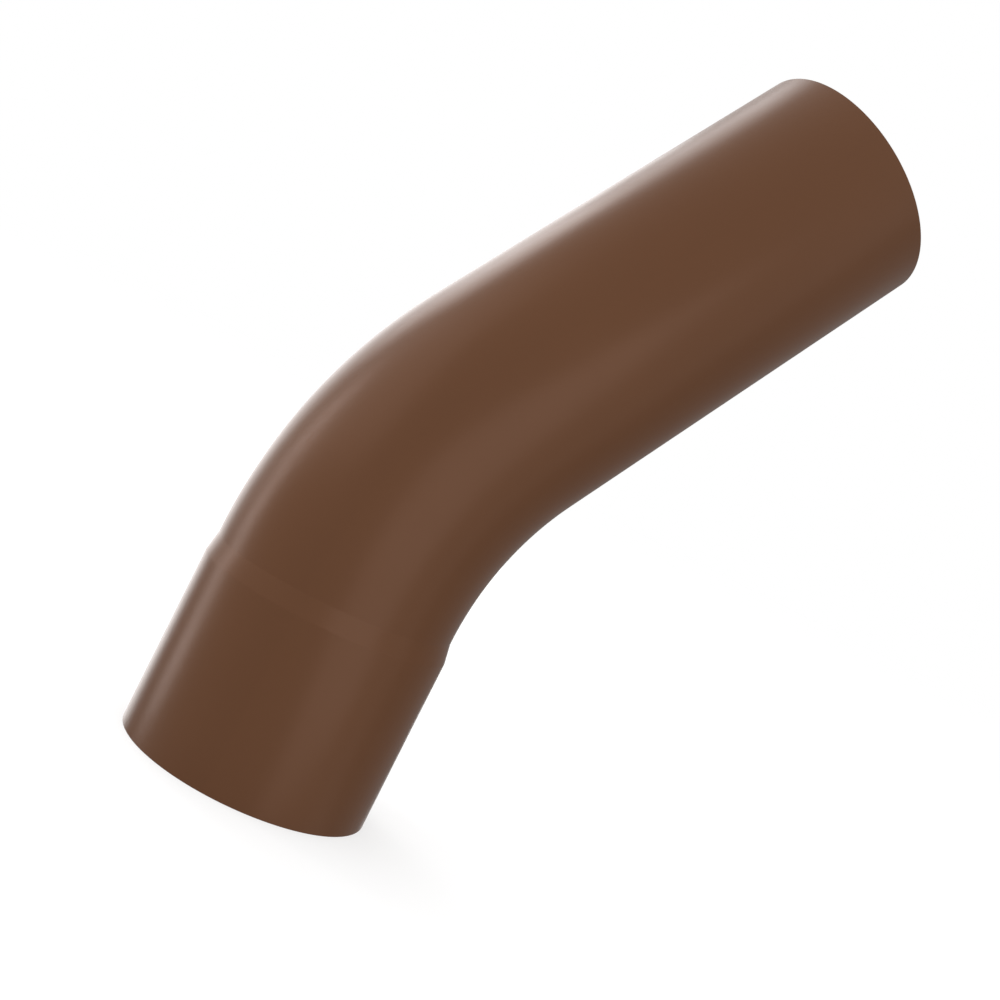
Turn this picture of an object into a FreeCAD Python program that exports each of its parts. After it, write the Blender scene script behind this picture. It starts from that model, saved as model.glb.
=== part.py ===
"""Round downspout elbow, drawn from one thin-walled metal tube.

One end of the tube is expanded into a socket that slips over the next pipe. Above it the tube tapers
back to the pipe size, turns through a smooth bend and runs on as a long plain spigot.

Frame, in millimetres: the origin is the centre of the socket's mouth, +Z runs up the socket's axis
into the elbow, and the bend turns towards +X. The elbow stands on the socket's rim.
"""

import os

import FreeCAD
import Part
import Sketcher

# Driving dimensions: alias, value in millimetres or degrees, meaning
SIZES = (
    ("pipe_od", 100.0, "outside diameter of the bent tube and its spigot"),
    ("wall", 1.0, "sheet thickness all over"),
    ("socket_gap", 0.45, "room on each side between the socket's bore and a pipe of the same size"),
    ("socket_depth", 72.0, "straight length of the socket, from its mouth to the taper"),
    ("taper_length", 8.0, "height of the taper from the socket to the pipe size"),
    ("neck_length", 1.0, "straight length between the taper and the bend"),
    ("shoulder_radius", 4.0, "inside radius of the sheet where it turns into and out of the taper"),
    ("bend_radius", 171.0, "radius of the bend, at the tube's centre line"),
    ("bend_angle", 32.75, "angle through which the elbow turns"),
    ("spigot_length", 175.5, "straight length of the spigot, past the bend"),
    ("edge_break", 0.2, "rounding of the four cut edges at the two ends"),
)

# Sizes worked out from the driving ones: alias, formula
DERIVED = (
    ("pipe_radius", "=pipe_od / 2"),
    ("bore_radius", "=pipe_radius - wall"),
    ("socket_bore_radius", "=pipe_radius + socket_gap"),
    ("socket_radius", "=socket_bore_radius + wall"),
    ("taper_top", "=socket_depth + taper_length"),
    ("bend_start", "=taper_top + neck_length"),
    ("outer_shoulder_radius", "=shoulder_radius + wall"),
)

NODE = "elbow"

# Points of a sketched line or arc, and the sketch's own axes, as constraints number them
START, END, CENTRE = 1, 2, 3
LEVEL_AXIS, UPRIGHT_AXIS = -1, -2


def make_sheet(doc):
    """The spreadsheet of sizes, one row each: name, value, meaning."""
    sheet = doc.addObject("Spreadsheet::Sheet", "sizes")
    row = 0
    for alias, value, meaning in SIZES:
        row += 1
        sheet.set(f"A{row}", alias)
        sheet.set(f"B{row}", str(value))
        sheet.set(f"C{row}", meaning)
        sheet.setAlias(f"B{row}", alias)
    for alias, formula in DERIVED:
        row += 1
        sheet.set(f"A{row}", alias)
        sheet.set(f"B{row}", formula)
        sheet.setAlias(f"B{row}", alias)
    doc.recompute()
    return sheet


def origin_plane(body, role):
    """One of the body's own origin planes, found by its role."""
    return next(plane for plane in body.Origin.OriginFeatures if plane.Role == role)


def new_sketch(body, name, role):
    """An empty sketch on one of the body's origin planes."""
    sketch = body.newObject("Sketcher::SketchObject", name)
    sketch.AttachmentSupport = [(origin_plane(body, role), "")]
    sketch.MapMode = "FlatFace"
    return sketch


def bind(sketch, constraint, name, formula):
    """Adds a constraint to a sketch and ties its value to the spreadsheet."""
    index = sketch.addConstraint(constraint)
    sketch.renameConstraint(index, name)
    sketch.setExpression(f"Constraints.{name}", formula)


def bind_from_origin(sketch, sheet, direction, side, point, size):
    """Holds a point of a side at a distance from the sketch's origin that the spreadsheet names."""
    distance = Sketcher.Constraint(direction, LEVEL_AXIS, START, side, point, getattr(sheet, size))
    bind(sketch, distance, f"{size}_{side}", f"sizes.{size}")


def socket_profile(body, sheet):
    """Half section of the expanded socket, its taper and the neck above it.

    Eight straight sides run round the sheet: up the outside, across the top, down the inside.
    """
    sketch = new_sketch(body, "socket_section", "XZ_Plane")
    outside = (
        (sheet.socket_radius, 0.0),
        (sheet.socket_radius, sheet.socket_depth),
        (sheet.pipe_radius, sheet.taper_top),
        (sheet.pipe_radius, sheet.bend_start),
    )
    inside = tuple((radius - sheet.wall, height) for radius, height in reversed(outside))
    corners = [FreeCAD.Vector(radius, height, 0) for radius, height in outside + inside]
    sides = [Part.LineSegment(a, b) for a, b in zip(corners, corners[1:] + corners[:1])]
    sketch.addGeometry(sides, False)
    count = len(sides)
    for side in range(count):
        sketch.addConstraint(Sketcher.Constraint("Coincident", side, END, (side + 1) % count, START))
    outer_wall, _, outer_neck, top, inner_neck, _, inner_wall, rim = range(count)
    for upright in (outer_wall, outer_neck, inner_neck, inner_wall):
        sketch.addConstraint(Sketcher.Constraint("Vertical", upright))
    for level in (top, rim):
        sketch.addConstraint(Sketcher.Constraint("Horizontal", level))
    sketch.addConstraint(Sketcher.Constraint("PointOnObject", outer_wall, START, LEVEL_AXIS))
    bind_from_origin(sketch, sheet, "DistanceX", outer_wall, START, "socket_radius")
    bind_from_origin(sketch, sheet, "DistanceX", inner_wall, END, "socket_bore_radius")
    bind_from_origin(sketch, sheet, "DistanceX", outer_neck, END, "pipe_radius")
    bind_from_origin(sketch, sheet, "DistanceX", inner_neck, START, "bore_radius")
    bind_from_origin(sketch, sheet, "DistanceY", outer_wall, END, "socket_depth")
    bind_from_origin(sketch, sheet, "DistanceY", inner_wall, START, "socket_depth")
    bind_from_origin(sketch, sheet, "DistanceY", outer_neck, START, "taper_top")
    bind_from_origin(sketch, sheet, "DistanceY", inner_neck, END, "taper_top")
    bind_from_origin(sketch, sheet, "DistanceY", outer_neck, END, "bend_start")
    return sketch


def circles_at(shape, height, radius):
    """Names of the shape's full circles about the Z axis with that height and radius."""
    tolerance = 1e-4
    names = []
    for number, edge in enumerate(shape.Edges, start=1):
        curve = edge.Curve
        if not isinstance(curve, Part.Circle):
            continue
        centre = curve.Center
        off_axis = max(abs(centre.x), abs(centre.y), abs(centre.z - height))
        if off_axis < tolerance and abs(curve.Radius - radius) < tolerance:
            names.append(f"Edge{number}")
    return names


def round_edges(body, base, name, edges, formula):
    """A fillet of the named edges whose radius is tied to the spreadsheet."""
    fillet = body.newObject("PartDesign::Fillet", name)
    fillet.Base = (base, edges)
    fillet.setExpression("Radius", formula)
    return fillet


def make_socket(doc, body, sheet):
    """The socket, taper and neck, turned about the Z axis, with shoulders rounded as bent sheet is."""
    profile = socket_profile(body, sheet)
    socket = body.newObject("PartDesign::Revolution", "socket")
    socket.Profile = profile
    socket.ReferenceAxis = (profile, ["V_Axis"])
    doc.recompute()
    inside_bends = (
        circles_at(socket.Shape, sheet.socket_depth, sheet.socket_bore_radius)
        + circles_at(socket.Shape, sheet.taper_top, sheet.pipe_radius)
    )
    shoulders = round_edges(body, socket, "inside_shoulders", inside_bends, "sizes.shoulder_radius")
    doc.recompute()
    outside_bends = (
        circles_at(shoulders.Shape, sheet.socket_depth, sheet.socket_radius)
        + circles_at(shoulders.Shape, sheet.taper_top, sheet.bore_radius)
    )
    round_edges(body, shoulders, "outside_shoulders", outside_bends, "sizes.outer_shoulder_radius")
    doc.recompute()


def tube_section(body, sheet):
    """The tube's ring section, at the top of the neck."""
    sketch = new_sketch(body, "tube_section", "XY_Plane")
    sketch.setExpression("AttachmentOffset.Base.z", "sizes.bend_start")
    middle = FreeCAD.Vector()
    up = FreeCAD.Vector(0, 0, 1)
    for number, size in enumerate(("pipe_radius", "bore_radius")):
        radius = getattr(sheet, size)
        sketch.addGeometry(Part.Circle(middle, up, radius), False)
        sketch.addConstraint(Sketcher.Constraint("Coincident", number, CENTRE, LEVEL_AXIS, START))
        bind(sketch, Sketcher.Constraint("Radius", number, radius), size, f"sizes.{size}")
    return sketch


def tube_path(body, sheet):
    """The tube's centre line past the neck: the arc of the bend, then the straight spigot."""
    sketch = new_sketch(body, "tube_path", "XZ_Plane")
    turn = FreeCAD.Units.Quantity(f"{sheet.bend_angle} deg").getValueAs("rad").Value
    half_circle = FreeCAD.Units.Quantity("180 deg").getValueAs("rad").Value
    out_of_sketch = FreeCAD.Vector(0, 0, 1)
    bend_centre = FreeCAD.Vector(sheet.bend_radius, sheet.bend_start, 0)
    circle = Part.Circle(bend_centre, out_of_sketch, sheet.bend_radius)
    arc = Part.ArcOfCircle(circle, half_circle - turn, half_circle)
    bend_end = arc.StartPoint
    inward = bend_centre - bend_end
    along = FreeCAD.Vector(-inward.y, inward.x, 0).normalize()
    run = Part.LineSegment(bend_end, bend_end + along * sheet.spigot_length)
    sketch.addGeometry([arc, run], False)
    bend, spigot = 0, 1
    sketch.addConstraint(Sketcher.Constraint("Tangent", bend, START, spigot, START))
    sketch.addConstraint(Sketcher.Constraint("PointOnObject", bend, END, UPRIGHT_AXIS))
    sketch.addConstraint(Sketcher.Constraint("Horizontal", bend, END, bend, CENTRE))
    bind_from_origin(sketch, sheet, "DistanceY", bend, END, "bend_start")
    bind(sketch, Sketcher.Constraint("Radius", bend, sheet.bend_radius), "bend_radius", "sizes.bend_radius")
    bind(sketch, Sketcher.Constraint("Angle", bend, turn), "bend_angle", "sizes.bend_angle * 1 deg")
    length = Sketcher.Constraint("Distance", spigot, sheet.spigot_length)
    bind(sketch, length, "spigot_length", "sizes.spigot_length")
    return sketch


def make_tube(doc, body, sheet):
    """The bend and the spigot, swept as one tube from the top of the neck."""
    tube = body.newObject("PartDesign::AdditivePipe", "bent_tube")
    tube.Profile = tube_section(body, sheet)
    tube.Spine = tube_path(body, sheet)
    doc.recompute()
    return tube


def cut_edges(shape, sheet):
    """Names of the circles round the two cut ends: the socket's mouth and the spigot's tip."""
    mouth = (
        circles_at(shape, 0.0, sheet.socket_radius)
        + circles_at(shape, 0.0, sheet.socket_bore_radius)
    )
    flat_ends = [face for face in shape.Faces if isinstance(face.Surface, Part.Plane)]
    spigot_end = max(flat_ends, key=lambda face: face.CenterOfMass.z)
    tip = [
        f"Edge{number}"
        for number, edge in enumerate(shape.Edges, start=1)
        if any(edge.isSame(tip_edge) for tip_edge in spigot_end.Edges)
    ]
    return mouth + tip


def make_elbow(doc, sheet):
    """The whole elbow as one body."""
    body = doc.addObject("PartDesign::Body", NODE)
    body.Label = NODE
    make_socket(doc, body, sheet)
    tube = make_tube(doc, body, sheet)
    round_edges(body, tube, "cut_edges", cut_edges(tube.Shape, sheet), "sizes.edge_break")
    doc.recompute()
    return body


def check(doc, body):
    """Stops with a message if any object failed or the elbow isn't one sound solid."""
    for item in doc.Objects:
        if "Invalid" in item.State or "Error" in item.State:
            raise RuntimeError(f"{item.Name} failed: {item.State}")
    shape = body.Shape
    if shape.isNull() or not shape.isValid() or len(shape.Solids) != 1:
        raise RuntimeError(f"{body.Label} isn't one sound solid")


def main():
    doc = FreeCAD.newDocument("downspout_elbow")
    sheet = make_sheet(doc)
    elbow = make_elbow(doc, sheet)
    check(doc, elbow)
    os.makedirs("parts", exist_ok=True)
    elbow.Shape.exportStep(f"parts/{elbow.Label}.step")
    box = elbow.Shape.optimalBoundingBox(False, False)
    print(f"{elbow.Label}: volume {elbow.Shape.Volume:.1f} mm3, {len(elbow.Shape.Faces)} faces")
    print(f"size {box.XLength:.2f} by {box.YLength:.2f} by {box.ZLength:.2f} mm")


main()
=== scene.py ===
# %% [markdown]
# # A round downspout elbow
#
# A downspout elbow turns the rainwater pipe under a roof. This one is a single piece of thin metal
# tube with a smooth brown coating: one end is widened into a socket, the tube bends, and the other
# end runs on as a long plain spigot. We first load the construction model, which fixes every size
# and the place of the object.

# %% Load the construction model
from math import atan, cos, degrees, pi, radians, sin, tan

import bpy
from mathutils import Matrix, Vector


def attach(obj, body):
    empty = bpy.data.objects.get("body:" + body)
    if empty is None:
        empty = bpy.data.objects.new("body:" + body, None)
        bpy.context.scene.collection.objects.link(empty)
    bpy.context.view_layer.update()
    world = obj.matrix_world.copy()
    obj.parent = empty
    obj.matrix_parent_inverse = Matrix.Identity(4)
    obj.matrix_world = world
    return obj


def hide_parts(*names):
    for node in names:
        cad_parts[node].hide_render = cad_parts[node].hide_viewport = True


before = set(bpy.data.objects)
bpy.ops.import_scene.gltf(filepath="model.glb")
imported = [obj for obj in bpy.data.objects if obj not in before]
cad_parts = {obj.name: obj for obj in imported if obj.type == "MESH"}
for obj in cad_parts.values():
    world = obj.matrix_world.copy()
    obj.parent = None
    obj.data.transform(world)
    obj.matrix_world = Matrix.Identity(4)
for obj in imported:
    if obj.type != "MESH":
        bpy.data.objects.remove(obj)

scene = bpy.context.scene
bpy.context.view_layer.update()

# %% [markdown]
# ## The sizes of the elbow
#
# All lengths are in metres. The socket's mouth lies on the floor with its centre at the origin, its
# axis runs up along Z, and the bend turns towards +X. These are the outside sizes of the tube: we
# model the outer skin first and give it the thickness of the sheet afterwards, as one wall.

# %% Name the sizes
PIPE_RADIUS = 0.050
WALL = 0.001
SLIP_GAP = 0.00045
SOCKET_DEPTH = 0.072
TAPER_LENGTH = 0.008
NECK_LENGTH = 0.001
SHOULDER_RADIUS = 0.004
BEND_RADIUS = 0.171
BEND_ANGLE = radians(32.75)
SPIGOT_LENGTH = 0.1755
EDGE_BREAK = 0.0002
MM = 1000  # millimetres in a metre, for what we print

socket_radius = PIPE_RADIUS + SLIP_GAP + WALL
taper_top = SOCKET_DEPTH + TAPER_LENGTH
bend_start = taper_top + NECK_LENGTH
bend_centre = (BEND_RADIUS, 0, bend_start)
spigot_direction = Vector((sin(BEND_ANGLE), 0.0, cos(BEND_ANGLE)))
print(f"socket {2 * MM * socket_radius:.1f} mm across, bend starts at {MM * bend_start:.0f} mm")

# %% [markdown]
# ## The socket and its taper
#
# The real socket is made by forcing a die into the tube's end, so the sheet turns into and out of
# the taper over a small radius instead of a sharp crease. We could draw that profile as a curve and
# turn it, but pulling a ring of points upwards is closer to how the tube is formed, and leaves one
# clean ring of points at every height. Each step extrudes the ring to a new height and scales it to
# the radius that the profile has there.

# %% List the rings of the socket
SHOULDER_STEPS = 6


def shoulder_rings(corner_radius, corner_height, slope, sheet_radius, starts_taper):
    """Rings (radius, height) round the taper's corner, at its start or at its end."""
    reach = sheet_radius * tan(slope / 2)
    rings = []
    for step in range(SHOULDER_STEPS + 1):
        turned = slope * step / SHOULDER_STEPS
        if starts_taper:
            inward = sheet_radius * (1 - cos(turned))
            height = corner_height - reach + sheet_radius * sin(turned)
            rings.append((corner_radius - inward, height))
        else:
            remaining = slope - turned
            outward = sheet_radius * (1 - cos(remaining))
            height = corner_height + reach - sheet_radius * sin(remaining)
            rings.append((corner_radius + outward, height))
    return rings


taper_slope = atan((socket_radius - PIPE_RADIUS) / TAPER_LENGTH)
lower_shoulder = shoulder_rings(
    socket_radius, SOCKET_DEPTH, taper_slope, SHOULDER_RADIUS + WALL, starts_taper=True
)
upper_shoulder = shoulder_rings(
    PIPE_RADIUS, taper_top, taper_slope, SHOULDER_RADIUS, starts_taper=False
)
socket_rings = lower_shoulder + upper_shoulder + [(PIPE_RADIUS, bend_start)]
print(f"taper slopes {degrees(taper_slope):.1f} degrees, {len(socket_rings)} rings above the mouth")

# %% [markdown]
# Everything is deselected before the first circle is added, because an operator works on all that
# is selected and the loaded model still is. The circle starts as the mouth's rim on the floor.

# %% Pull the socket up from its mouth
SIDES = 224

bpy.ops.object.select_all(action="DESELECT")
bpy.ops.mesh.primitive_circle_add(vertices=SIDES, radius=socket_radius, fill_type="NOTHING")
elbow = bpy.context.object
elbow.name = elbow.data.name = "coated_elbow"
bpy.ops.object.mode_set(mode="EDIT")
radius, height = socket_radius, 0.0
for ring_radius, ring_height in socket_rings:
    rise = (0, 0, ring_height - height)
    bpy.ops.mesh.extrude_edges_move(TRANSFORM_OT_translate={"value": rise})
    shrink = ring_radius / radius
    if shrink != 1.0:
        bpy.ops.transform.resize(value=(shrink, shrink, 1), center_override=(0, 0, ring_height))
    radius, height = ring_radius, ring_height
bpy.ops.object.mode_set(mode="OBJECT")
print(f"socket drawn up to {MM * height:.1f} mm with {len(elbow.data.vertices)} points")

# %% [markdown]
# ## The bend and the spigot
#
# A bending machine draws the tube round a former, so the bend is part of a perfect ring. The Spin
# operator does the same with our top ring of points: it sweeps it about the bend's centre. The
# spigot is then one straight pull along the direction in which the bend leaves the tube. Points
# that fall together are merged, and all faces are turned outwards before the skin gets its wall.

# %% Sweep the bend and draw out the spigot
BEND_STEPS = 72
MERGE_DISTANCE = 1e-6

bpy.ops.object.mode_set(mode="EDIT")
bpy.ops.mesh.spin(steps=BEND_STEPS, angle=-BEND_ANGLE, center=bend_centre, axis=(0, 1, 0))
pull = spigot_direction * SPIGOT_LENGTH
bpy.ops.mesh.extrude_edges_move(TRANSFORM_OT_translate={"value": pull})
bpy.ops.mesh.select_all(action="SELECT")
bpy.ops.mesh.remove_doubles(threshold=MERGE_DISTANCE)
bpy.ops.mesh.normals_make_consistent(inside=False)
bpy.ops.object.mode_set(mode="OBJECT")
highest = max(point.co.z for point in elbow.data.vertices)
print(f"outer skin: {len(elbow.data.polygons)} faces, highest point {MM * highest:.2f} mm")

# %% [markdown]
# ## The wall
#
# The outer skin now gets the thickness of the sheet. Solidify with an offset of -1 grows the wall
# inwards only, so the outside keeps the size of the construction model. A narrow bevel then takes
# the sharpness off the two cut ends, as the coating does on the real tube where it wraps round
# them. Only those ends turn sharply enough for it: the taper's shoulders are far below the limit.

# %% Give the skin its thickness and break the cut edges
CUT_EDGE_ANGLE = radians(60)
SMOOTH_ANGLE = radians(35)

wall = elbow.modifiers.new("wall", "SOLIDIFY")
wall.thickness = WALL
wall.offset = -1.0
wall.use_even_offset = True
edge = elbow.modifiers.new("cut_edges", "BEVEL")
edge.width = EDGE_BREAK
edge.segments = 3
edge.limit_method = "ANGLE"
edge.angle_limit = CUT_EDGE_ANGLE
bpy.context.view_layer.objects.active = elbow
for modifier in ("wall", "cut_edges"):
    bpy.ops.object.modifier_apply(modifier=modifier)
bpy.ops.object.shade_smooth_by_angle(angle=SMOOTH_ANGLE)
elbow.data.calc_loop_triangles()
print(f"elbow: {len(elbow.data.loop_triangles)} triangles")

# %% [markdown]
# ## The coating
#
# The metal wears a brown satin paint that is baked on, so it looks even from a step away. Close up
# it isn't flat: it dried with a fine ripple like orange peel, and its tone and gloss wander a
# little. A photograph of real paint could give all that, but noise on Object coordinates needs no
# file, has no seams and keeps its real scale. The ripple is about a millimetre and a half from
# crest to crest.

# %% Add helpers for nodes
NOISE_LOW, NOISE_HIGH = 0.25, 0.75  # the noise node seldom leaves this range


def link(tree, source, target):
    tree.links.new(source, target)


def noise(tree, scale, detail, low, high):
    """Noise on the piece's own coordinates, spread from low to high."""
    place = tree.nodes.new("ShaderNodeTexCoord")
    cloud = tree.nodes.new("ShaderNodeTexNoise")
    cloud.inputs["Scale"].default_value = scale
    cloud.inputs["Detail"].default_value = detail
    link(tree, place.outputs["Object"], cloud.inputs["Vector"])
    spread = tree.nodes.new("ShaderNodeMapRange")
    spread.inputs["From Min"].default_value = NOISE_LOW
    spread.inputs["From Max"].default_value = NOISE_HIGH
    spread.inputs["To Min"].default_value = low
    spread.inputs["To Max"].default_value = high
    link(tree, cloud.outputs["Fac"], spread.inputs["Value"])
    return spread.outputs["Result"]


# %% [markdown]
# The shader's own sockets hold what is the same all over. A low specular level gives the soft,
# shallow shine of a matted paint: it mirrors little when seen square on and a lot at a grazing
# angle, which is why the palest bands lie along the tube's edges. The bands are also slightly brown
# themselves, as they are on a paint with a little metal pigment in it, so the shader is made
# metallic by that small share. Noise drives only what really varies: the tone, the gloss and the
# ripple.

# %% Mix the brown satin paint
DARK_BROWN = (0.1066, 0.0452, 0.0206, 1.0)
LIGHT_BROWN = (0.1121, 0.0476, 0.0216, 1.0)
SHINE = 0.125
METAL_PIGMENT = 0.10
PEEL_HEIGHT = 0.000008

paint = bpy.data.materials.new("brown_satin_paint")
paint.use_nodes = True
tree = paint.node_tree
shader = tree.nodes["Principled BSDF"]
shader.inputs["Specular IOR Level"].default_value = SHINE
shader.inputs["Metallic"].default_value = METAL_PIGMENT

tone = tree.nodes.new("ShaderNodeMix")
tone.data_type = "RGBA"
tone.inputs["A"].default_value = DARK_BROWN
tone.inputs["B"].default_value = LIGHT_BROWN
link(tree, noise(tree, scale=16.0, detail=5.0, low=0.0, high=1.0), tone.inputs["Factor"])
link(tree, tone.outputs["Result"], shader.inputs["Base Color"])

link(tree, noise(tree, scale=45.0, detail=3.0, low=0.28, high=0.32), shader.inputs["Roughness"])

peel = tree.nodes.new("ShaderNodeBump")
peel.inputs["Distance"].default_value = PEEL_HEIGHT
link(tree, noise(tree, scale=620.0, detail=2.0, low=0.0, high=1.0), peel.inputs["Height"])
link(tree, peel.outputs["Normal"], shader.inputs["Normal"])

elbow.data.materials.append(paint)
print(f"{paint.name}: {len(tree.nodes)} nodes")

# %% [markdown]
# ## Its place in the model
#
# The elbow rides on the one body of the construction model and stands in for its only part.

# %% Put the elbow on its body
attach(elbow, "root")
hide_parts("elbow")

# %% [markdown]
# ## The camera
#
# The photograph was taken from close by, half a metre from the socket, with the camera rolled so
# that the elbow leans to the right. Its place and directions come from fitting the tube's outline.
# We keep the picture's own right, up and ahead directions, because the lamps are set up by them
# afterwards.

# %% Set up the camera
CAMERA_PLACE = Vector((-0.193194, -0.484270, 0.154134))
PICTURE_RIGHT = Vector((0.805341, -0.384549, 0.451163))
PICTURE_UP = Vector((-0.393118, 0.223214, 0.891983))
LENS = 47.964  # millimetres, as is the sensor's width
SENSOR_WIDTH = 36.0

picture_ahead = PICTURE_UP.cross(PICTURE_RIGHT)
bpy.ops.object.camera_add()
camera = bpy.context.object
axes = Matrix((PICTURE_RIGHT, PICTURE_UP, -picture_ahead)).transposed()
camera.matrix_world = Matrix.Translation(CAMERA_PLACE) @ axes.to_4x4()
camera.data.sensor_width = SENSOR_WIDTH
camera.data.lens = LENS
camera.data.clip_start = 0.01
camera.data.clip_end = 200.0
scene.camera = camera
print(f"camera {MM * CAMERA_PLACE.length:.0f} mm from the socket's mouth, {LENS:.0f} mm lens")

# %% [markdown]
# ## The white room
#
# A white world stands for the walls of a white studio: it lights the elbow evenly, shows as the
# white background, and the paint mirrors it. The Standard view keeps every colour as it was
# written.

# %% Paint the world white
WHITE = (1.0, 1.0, 1.0, 1.0)

world = bpy.data.worlds.new("white_room")
world.use_nodes = True
world.node_tree.nodes["Background"].inputs["Color"].default_value = WHITE
world.node_tree.nodes["Background"].inputs["Strength"].default_value = 1.0
scene.world = world
scene.view_settings.view_transform = "Standard"
print("view transform:", scene.view_settings.view_transform)

# %% [markdown]
# ## The floor
#
# The floor is pale grey, so that it throws little light up at the elbow's lower side, as in the
# photograph. To the camera it should still melt into the white background, so rays that come
# straight from the camera, from a mirror or through glass see a glow that lifts it just to white.
# The elbow's shadow still darkens it. The floor hides from the paint's gloss: the softboxes' mirror
# images then run on down to the socket's mouth, and the white room stands in for the floor there.

# %% Lay the floor
FLOOR_GREY = 0.40
FLOOR_SIZE = 60.0

bpy.ops.object.select_all(action="DESELECT")
bpy.ops.mesh.primitive_plane_add(size=FLOOR_SIZE)
floor = bpy.context.object
floor.name = "floor"
floor.visible_glossy = False

pale = bpy.data.materials.new("pale_floor")
pale.use_nodes = True
tree = pale.node_tree
surface = tree.nodes["Principled BSDF"]
surface.inputs["Base Color"].default_value = (FLOOR_GREY, FLOOR_GREY, FLOOR_GREY, 1.0)
surface.inputs["Roughness"].default_value = 1.0
surface.inputs["Specular IOR Level"].default_value = 0.0
surface.inputs["Emission Color"].default_value = WHITE
path = tree.nodes.new("ShaderNodeLightPath")
seen = path.outputs["Is Camera Ray"]
for ray in ("Is Glossy Ray", "Is Transmission Ray"):
    either = tree.nodes.new("ShaderNodeMath")
    either.operation = "MAXIMUM"
    link(tree, seen, either.inputs[0])
    link(tree, path.outputs[ray], either.inputs[1])
    seen = either.outputs[0]
glow = tree.nodes.new("ShaderNodeMath")
glow.operation = "MULTIPLY"
glow.inputs[1].default_value = 1.0 - FLOOR_GREY
link(tree, seen, glow.inputs[0])
link(tree, glow.outputs[0], surface.inputs["Emission Strength"])
floor.data.materials.append(pale)
print(f"floor: grey {FLOOR_GREY}, glow {1 - FLOOR_GREY:.2f}")

# %% [markdown]
# ## Softboxes
#
# The pale bands on the paint are mirror images of large softboxes, the glowing cloth panels of a
# photo studio. A picture of a studio wrapped round the scene could give them too, but area lamps
# can be set one at a time. All of them stand upright in the picture, at one distance from the
# elbow. Only the elbow may throw shadows from them, since some reach below the floor to carry their
# bands to the mouth. A flat lamp as bright as white paper gives pi watts for each square metre.

# %% Describe a softbox
AIM = Vector((0.04, 0.0, 0.17))
STUDIO_RADIUS = 1.5

shadow_makers = bpy.data.collections.new("shadow_makers")
shadow_makers.objects.link(elbow)


def upright(turn, middle):
    """The place of a panel facing the elbow, from its turn in degrees and its middle's height."""
    away = picture_ahead * cos(radians(turn)) - PICTURE_RIGHT * sin(radians(turn))
    axes = Matrix((PICTURE_UP.cross(away), PICTURE_UP, away)).transposed()
    return Matrix.Translation(AIM + away * STUDIO_RADIUS + PICTURE_UP * middle) @ axes.to_4x4()


def softbox(name, turn, width, bottom, top, brightness):
    """An area lamp that looks brightness times as bright as white paper."""
    bpy.ops.object.light_add(type="AREA")
    lamp = bpy.context.object
    lamp.name = name
    lamp.matrix_world = upright(turn, (bottom + top) / 2)
    lamp.data.shape = "RECTANGLE"
    lamp.data.size = width
    lamp.data.size_y = top - bottom
    lamp.data.energy = brightness * pi * width * (top - bottom)
    lamp.visible_camera = False
    lamp.light_linking.blocker_collection = shadow_makers
    print(f"{name}: {width:.2f} by {top - bottom:.2f} m, {lamp.data.energy:.0f} W")


# %% [markdown]
# Following the mirror rays of each band outwards from the tube shows where its softbox stood: a low
# one behind the elbow with two side by side above it, a slim one on its left, a wide one high up on
# the left, and one behind the camera for the soft band down the middle. A turn of 0 is straight
# ahead and 90 is the picture's left; heights are measured up the picture from the elbow's middle.

# %% Set up the softboxes
softbox("back_softbox", turn=20.7, width=1.44, bottom=-0.57, top=1.20, brightness=1.69)
softbox("upper_back_left_softbox", turn=30.0, width=0.95, bottom=1.24, top=2.77, brightness=3.35)
softbox("upper_back_right_softbox", turn=2.6, width=0.73, bottom=1.37, top=3.39, brightness=2.04)
softbox("left_softbox", turn=79.1, width=0.35, bottom=-0.03, top=1.80, brightness=4.74)
softbox("upper_left_softbox", turn=110.3, width=3.00, bottom=1.06, top=5.87, brightness=1.24)
softbox("front_softbox", turn=211.9, width=1.22, bottom=-1.80, top=0.18, brightness=1.50)

# %% [markdown]
# ## Grey cards
#
# A shiny thing in an all-white room looks washed out along its edges, so photographers stand dark
# cards beside it. Ours are upright panels that only the paint's gloss can see: they take the white
# room's place in its mirror image, and neither shade nor light anything. A darker world would do
# the same, but it would no longer be white behind the elbow.

# %% Describe a grey card
BLACK = (0.0, 0.0, 0.0, 1.0)


def grey_card(name, turn, width, bottom, top, grey):
    """An upright panel that glows evenly with the given grey."""
    bpy.ops.object.select_all(action="DESELECT")
    bpy.ops.mesh.primitive_plane_add(size=1.0)
    card = bpy.context.object
    card.name = name
    card.matrix_world = upright(turn, (bottom + top) / 2)
    card.scale = (width, top - bottom, 1.0)
    card.visible_camera = False
    card.visible_diffuse = False
    card.visible_transmission = False
    card.visible_shadow = False
    board = bpy.data.materials.new(name)
    board.use_nodes = True
    surface = board.node_tree.nodes["Principled BSDF"]
    surface.inputs["Base Color"].default_value = BLACK
    surface.inputs["Specular IOR Level"].default_value = 0.0
    surface.inputs["Emission Color"].default_value = (grey, grey, grey, 1.0)
    surface.inputs["Emission Strength"].default_value = 1.0
    card.data.materials.append(board)
    print(f"{name}: {width:.2f} by {top - bottom:.2f} m, grey {grey}")


# %% [markdown]
# Along the tube's lower right edge the photograph shows only a thin, dim line of shine, so a wide
# card stands on the right. On the left, the socket is dark between its bright edge and the band
# beside it: a narrow card fills the gap between the softboxes there.

# %% Stand the grey cards on both sides
grey_card("right_card", turn=313.0, width=2.80, bottom=-2.50, top=0.25, grey=0.33)
grey_card("left_card", turn=63.0, width=0.58, bottom=-2.50, top=0.35, grey=0.22)
